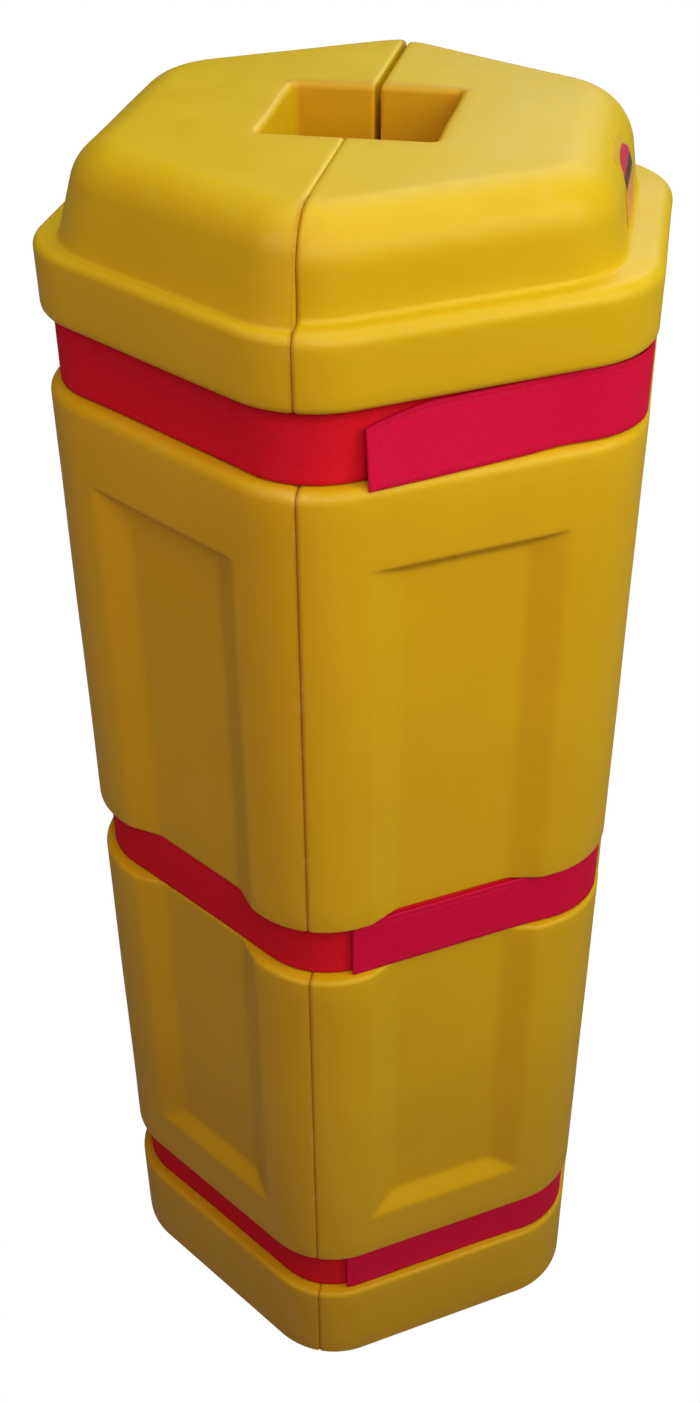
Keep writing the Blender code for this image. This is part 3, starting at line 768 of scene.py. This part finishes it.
def ajar(x, y):
    """Moves the back of a half off the seam plane, and leaves its outer side where it is."""
    return x + BACK_GAP * smooth((y - BACK_FROM) / BACK_OVER) * (1.0 - x / HALF_WIDTH)


def in_groove(z):
    return any(low - 0.001 < z < low + GROOVE_HEIGHT + 0.001 for low in GROOVE_BOTTOMS.values())


def sink_vent(shell, label, side):
    """Cuts the pocket that the vent plug's head sits in."""
    head_low, head_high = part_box(label + "_vent_plug")
    spare = 0.0005
    radius = (head_high.x - head_low.x) / 2 + spare
    bm = bmesh.new()
    bmesh.ops.create_cone(
        bm, cap_ends=True, segments=48, radius1=radius, radius2=radius, depth=2 * VENT_POCKET
    )
    bmesh.ops.translate(bm, vec=(side * VENT_X, 0.0, 0.0), verts=bm.verts)
    cutter = add_object("vent_pocket", mesh_from(bm, "vent_pocket"))
    step = shell.modifiers.new("vent_pocket", "BOOLEAN")
    step.operation = "DIFFERENCE"
    step.object = cutter
    graph = bpy.context.evaluated_depsgraph_get()
    made = bpy.data.meshes.new_from_object(shell.evaluated_get(graph))
    shell.modifiers.clear()
    old = shell.data
    shell.data = made
    bpy.data.meshes.remove(old)
    bpy.data.objects.remove(cutter)


# ---- straps -------------------------------------------------------------------------------------
def girth_stretches():
    """Stretches of half the outline as (length, start angle, end angle), from the front seam."""
    straight = FACE_LAST - FACE_FIRST
    right = math.pi / 2
    return [
        (NOSE_RADIUS * NOSE_ANGLE, 0.0, NOSE_ANGLE),
        (straight, NOSE_ANGLE, NOSE_ANGLE),
        (SIDE_RADIUS * SIDE_TURN, NOSE_ANGLE, right),
        (-2 * SIDE_FIRST, right, right),
        (SIDE_RADIUS * SIDE_TURN, right, math.pi - NOSE_ANGLE),
        (straight, math.pi - NOSE_ANGLE, math.pi - NOSE_ANGLE),
        (NOSE_RADIUS * NOSE_ANGLE, math.pi - NOSE_ANGLE, math.pi),
    ]


HALF_GIRTH = sum(stretch[0] for stretch in girth_stretches())


def on_girth(distance, depth):
    """The plan point at a distance round from the front seam (+X side positive), depth inside."""
    if distance > HALF_GIRTH:
        distance -= 2 * HALF_GIRTH
    side = 1.0 if distance >= 0.0 else -1.0
    left = abs(distance)
    x, y = 0.0, NOSE_CENTRE_Y - NOSE_RADIUS
    for length, first, last in girth_stretches():
        part = min(left, length)
        turn = first + (last - first) * part / length
        if last > first:
            radius = length / (last - first)
            x += radius * (math.sin(turn) - math.sin(first))
            y -= radius * (math.cos(turn) - math.cos(first))
        else:
            x += part * math.cos(first)
            y += part * math.sin(first)
        left -= part
        if left <= 0.0:
            break
    return side * (x - depth * math.sin(turn)), y + depth * math.cos(turn)


UNDER = GROOVE_DEPTH - CLEAR - WEBBING
HOOKS = UNDER - CLEAR - PATCH_THICKNESS
OVER = HOOKS - CLEAR - WEBBING


class Strap:
    """How one strap lies: the depth of its outer face and its height, round the girth."""

    def __init__(self, level):
        self.level = level
        self.middle = GROOVE_BOTTOMS[level] + GROOVE_HEIGHT / 2
        self.seed = Vector((0.0, 0.0, 10.0 * self.middle))

    def slack(self, distance):
        """How far the tape stands off what it lies on, a little more here and less there."""
        place = Vector((distance * 16.0, 0.0, 0.0)) + self.seed
        return SLACK * (1.0 + noise.noise(place))

    def inner(self, distance, height):
        """The inner layer, round the left half and on over the front seam, at any height alike."""
        left_corner = math.exp(-(((distance + BULGE_MIDDLE) / BULGE_REACH) ** 2))
        return UNDER - self.slack(distance) - LEFT_BULGE * left_corner, 0.0

    def outer(self, distance, height):
        """The outer layer: level with the tail's lap, dropping to the floor past the tail."""
        drop = smooth((distance - TAIL_END - PAST_TAIL) / STEP_DOWN)
        round_corner = math.exp(-(((distance - BULGE_MIDDLE) / BULGE_REACH) ** 2))
        depth = OVER + (UNDER - OVER) * drop - BULGE[self.level] * round_corner
        past = distance - HALF_GIRTH
        join = smooth((past - JOIN_START + JOIN_RISE_FROM) / JOIN_RISE)
        depth -= (WEBBING + 2 * CLEAR) * join
        free_end = TAB_ENDS[self.level]
        lowness = 0.5 - height / STRAP_HEIGHT
        loose = min(1.0, max(0.0, (LOOSE_FROM - distance) / (LOOSE_FROM - free_end)))
        lift = loose**0.6 * smooth(loose / 0.25)
        depth -= FLARE[self.level] * lift * (0.18 + 0.82 * lowness)
        cut = max(0.0, 1.0 - (distance - free_end) / SLANT_LENGTH) ** SLANT_POWER
        fall = DROOP[self.level] * loose + SLANT[self.level] * cut * (1.0 - lowness)
        return depth - self.slack(distance), -fall


def tape(name, start, end, step, thickness, height, lie, middle, below=0.0):
    """A length of tape from start to end; lie gives its depth and height shift, below sinks it.

    Its section is a loop of (height, depth) points with rounded edges, drawn in at the two ends.
    """
    edge = min(TAPE_EDGE, thickness * 0.46)
    half = height / 2
    loop = [(half - edge - (height - 2 * edge) * k / 12, 0.0) for k in range(13)]
    turns = [math.pi / 2 * k / 3 for k in range(1, 4)]
    loop += [(-half + edge - edge * math.sin(t), edge - edge * math.cos(t)) for t in turns]
    loop += [(-half + edge - edge * math.cos(t), thickness - edge + edge * math.sin(t)) for t in turns]
    loop += [(-half + edge + (height - 2 * edge) * k / 6, thickness) for k in range(1, 7)]
    loop += [(half - edge + edge * math.sin(t), thickness - edge + edge * math.cos(t)) for t in turns]
    loop += [(half - edge + edge * math.cos(t), edge - edge * math.sin(t)) for t in turns[:-1]]
    count = max(2, round((end - start) / step))
    stops = [start + (end - start) * k / count for k in range(count + 1)]
    ends = [(0.0, 0.35), (0.0004, 0.78)]
    stops = [start + d for d, _ in ends] + [start + 0.0010] + stops[1:-1]
    stops += [end - 0.0010] + [end - d for d, _ in reversed(ends)]
    squeezes = [s for _, s in ends]
    squeezes += [1.0] * (len(stops) - 2 * len(ends)) + squeezes[::-1]
    bm = bmesh.new()
    spot = bm.verts.layers.float_vector.new("tape")
    rings = []
    for distance, squeeze in zip(stops, squeezes):
        ring = []
        for h, t in loop:
            depth, shift = lie(distance, h)
            inside = depth + below + thickness / 2 + (t - thickness / 2) * squeeze
            x, y = on_girth(distance, inside)
            vert = bm.verts.new((x, y, middle + h + shift))
            vert[spot] = (distance, h, t)
            ring.append(vert)
        rings.append(ring)
    size = len(loop)
    for one, two in zip(rings, rings[1:]):
        for k in range(size):
            bm.faces.new((one[k], one[(k + 1) % size], two[(k + 1) % size], two[k]))
    bm.faces.new(rings[0])
    bm.faces.new(rings[-1])
    bmesh.ops.recalc_face_normals(bm, faces=bm.faces[:])
    return mesh_object(bm, name, sharp_angle=60)


def finish_piece(piece, material):
    piece.data.materials.append(material)


def stitch_line(one, two):
    """Middles and headings of stitches from one (distance, height) point to another."""
    length = math.hypot(two[0] - one[0], two[1] - one[1])
    count = max(1, round(length / STITCH_PITCH))
    heading = math.atan2(two[1] - one[1], two[0] - one[0])
    for k in range(count):
        share = (k + 0.5) / count
        at = (one[0] + (two[0] - one[0]) * share, one[1] + (two[1] - one[1]) * share)
        yield at, heading


def box_stitches(first, last, half_height, crossed):
    """A sewn rectangle, with a cross in it where the tapes are joined."""
    corners = [(first, -half_height), (last, -half_height), (last, half_height), (first, half_height)]
    lines = list(zip(corners, corners[1:] + corners[:1]))
    if crossed:
        lines += [(corners[0], corners[2]), (corners[1], corners[3])]
    for one, two in lines:
        yield from stitch_line(one, two)


def stitching(name, stitches, lie, middle):
    """Short plump threads that lie on a tape's outer face."""
    bm = bmesh.new()
    profile = [(-1.0, 0.30), (-0.72, 0.85), (-0.3, 1.0), (0.3, 1.0), (0.72, 0.85), (1.0, 0.30)]
    for (distance, height), heading in stitches:
        rings = []
        for along, size in profile:
            reach = STITCH_REACH * along
            at = distance + reach * math.cos(heading)
            h = height + reach * math.sin(heading)
            ring = []
            for k in range(6):
                turn = math.tau * k / 6
                off = STITCH_THICK * size * math.cos(turn)
                depth, shift = lie(at, h)
                depth -= STITCH_THICK * size * math.sin(turn) * 0.8
                x, y = on_girth(at - off * math.sin(heading), depth)
                ring.append(bm.verts.new((x, y, middle + h + off * math.cos(heading) + shift)))
            rings.append(ring)
        for one, two in zip(rings, rings[1:]):
            for k in range(6):
                bm.faces.new((one[k], one[(k + 1) % 6], two[(k + 1) % 6], two[k]))
        bm.faces.new(rings[0])
        bm.faces.new(rings[-1])
    bmesh.ops.recalc_face_normals(bm, faces=bm.faces[:])
    return mesh_object(bm, name, sharp_angle=80)


def strap(level, looks):
    """One strap's inner tape, outer tape, lap, hooks and stitching."""
    lies = Strap(level)
    name = level + "_strap_"
    free_end = TAB_ENDS[level]

    inner = tape(name + "inner", -HALF_GIRTH + JOIN_START, TAIL_END, TAPE_STEPS["inner"],
                 WEBBING, STRAP_HEIGHT, lies.inner, lies.middle)
    finish_piece(inner, looks["loop"])
    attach(inner, "left_half")
    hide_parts(name + "left_run", name + "tail")

    around = tape(name + "round", LAP_ROOT, HALF_GIRTH + JOIN_END, TAPE_STEPS["round"],
                  WEBBING, STRAP_HEIGHT, lies.outer, lies.middle)
    finish_piece(around, looks["back"])
    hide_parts(name + "right_run")
    back_y = -on_girth(0.0, UNDER)[1]
    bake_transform(around)

    lap = tape(name + "lap", free_end, LAP_ROOT, TAPE_STEPS["lap"],
               WEBBING, STRAP_HEIGHT, lies.outer, lies.middle)
    finish_piece(lap, looks["back"])
    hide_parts(name + "tab")
    before = on_girth(TAB_HINGE + TAB_BEND, OVER)
    after = on_girth(TAB_HINGE - TAB_BEND, OVER)
    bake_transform(lap)

    patch_start = free_end + PATCH_FROM
    hooks = tape(name + "hooks", patch_start, patch_start + PATCH_LENGTH, TAPE_STEPS["hooks"],
                 PATCH_THICKNESS, PATCH_HEIGHT, lies.outer, lies.middle, WEBBING + CLEAR / 2)
    finish_piece(hooks, looks["hooks"])
    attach(hooks, level + "_tab")
    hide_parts(name + "hook_patch")

    sewn = box_stitches(free_end + SEWN_FROM, free_end + SEWN_SPARE + PATCH_LENGTH,
                        STITCH_ROW, crossed=False)
    seam = stitching(name + "lap_stitching", sewn, lies.outer, lies.middle)
    finish_piece(seam, looks["lap_thread"])
    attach(seam, level + "_tab")

    joined = box_stitches(HALF_GIRTH + JOIN_START + JOIN_MARGIN, HALF_GIRTH + JOIN_END - JOIN_MARGIN,
                          STITCH_ROW, crossed=True)
    join = stitching(name + "join_stitching", joined, lies.outer, lies.middle)
    finish_piece(join, looks["lap_thread"])
    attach(join, "left_half")


# ---- stage --------------------------------------------------------------------------------------
def floor():
    """A round white floor that sweeps up into a wall, like a studio cove."""
    flat, sweep, wall = 7.0, 3.0, 9.0
    turns = [math.pi / 2 * k / 12 for k in range(13)]
    side = [(flat + sweep * math.sin(t), sweep * (1.0 - math.cos(t))) for t in turns]
    side.append((flat + sweep, wall))
    bm = bmesh.new()
    steps = 96
    rings = [
        [bm.verts.new((r * math.cos(math.tau * k / steps), r * math.sin(math.tau * k / steps), z))
         for k in range(steps)]
        for r, z in side
    ]
    bm.faces.new(rings[0])
    for low, high in zip(rings, rings[1:]):
        for k in range(steps):
            bm.faces.new((low[k], low[(k + 1) % steps], high[(k + 1) % steps], high[k]))
    mesh = mesh_from(bm, "floor")
    mesh.shade_smooth()
    mesh.materials.append(pale_floor())
    ground = add_object("floor", mesh)
    ground.visible_diffuse = False
    ground.visible_glossy = False
    ground.visible_shadow = False
    ground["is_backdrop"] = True


def area_light(name, at, aim, side, power, colour):
    light = bpy.data.lights.new(name, "AREA")
    light.size = side
    light.energy = power
    light.color = colour
    lamp = add_object(name, light)
    lamp.location = at
    lamp.visible_camera = False
    lamp.rotation_euler = (Vector(aim) - Vector(at)).to_track_quat("-Z", "Y").to_euler()


def lighting():
    """Dim surroundings, brighter below the horizon, and the square panels of light."""
    world = bpy.data.worlds.new("soft_studio")
    bpy.context.scene.world = world
    world.use_nodes = True
    tree = world.node_tree
    sky = tree.nodes["Background"]
    where = tree.nodes.new("ShaderNodeTexCoord")
    split = tree.nodes.new("ShaderNodeSeparateXYZ")
    fade = tree.nodes.new("ShaderNodeMapRange")
    fade.interpolation_type = "SMOOTHSTEP"
    for key, value in zip(("From Min", "From Max", "To Min", "To Max"), (-0.5, 0.5, GROUND, SKY)):
        fade.inputs[key].default_value = value
    tree.links.new(where.outputs["Generated"], split.inputs[0])
    tree.links.new(split.outputs[2], fade.inputs["Value"])
    tree.links.new(fade.outputs["Result"], sky.inputs["Strength"])
    sky.inputs["Color"].default_value = (*SKY_COLOUR, 1.0)
    for name, at, aim, side, power, colour in LAMPS:
        area_light(name, at, aim, side, power, colour)


def camera():
    """The main view: from close in front, above the top and looking steeply down."""
    yaw, pitch, roll = CAMERA_YAW, CAMERA_PITCH, CAMERA_ROLL
    flat = math.cos(pitch)
    ahead = Vector((-math.sin(yaw) * flat, math.cos(yaw) * flat, -math.sin(pitch)))
    level = Vector((math.cos(yaw), math.sin(yaw), 0.0))
    upright = level.cross(ahead)
    right = math.cos(roll) * level + math.sin(roll) * upright
    up = math.cos(roll) * upright - math.sin(roll) * level
    lens = bpy.data.cameras.new("camera")
    lens.sensor_width = 36.0
    lens.lens = CAMERA_LENS
    lens.clip_end = 60.0
    eye = add_object("camera", lens)
    turned = Matrix((right, up, -ahead)).transposed().to_4x4()
    eye.matrix_world = Matrix.Translation(CAMERA_PLACE) @ turned
    bpy.context.scene.camera = eye


# ---- assembly -----------------------------------------------------------------------------------
def build():
    looks = {
        "shell": moulded_plastic(),
        "loop": webbing("scarlet_loop_tape", (0.73, 0.0060, 0.025), (0.83, 0.0085, 0.036), 1.0),
        "back": webbing("crimson_tape_back", (0.72, 0.0008, 0.070), (0.80, 0.0014, 0.092), 0.0),
        "hooks": hook_tape(),
        "lap_thread": sewing_thread("crimson_thread", (0.68, 0.003, 0.068)),
    }
    for label, side in (("left", -1.0), ("right", 1.0)):
        half_shell(label, side, looks["shell"])
        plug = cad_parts[label + "_vent_plug"]
        plug.material_slots[0].material = rubber()
    for level in ("top", "middle", "bottom"):
        strap(level, looks)
    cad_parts["cap_label"].material_slots[0].material = label_film()
    floor()
    lighting()
    camera()
    bpy.context.scene.view_settings.view_transform = "Standard"


build()
boxes = {"cad": cad_box, "visual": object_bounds()}
{name: [list(corner) for corner in box] for name, box in boxes.items()}
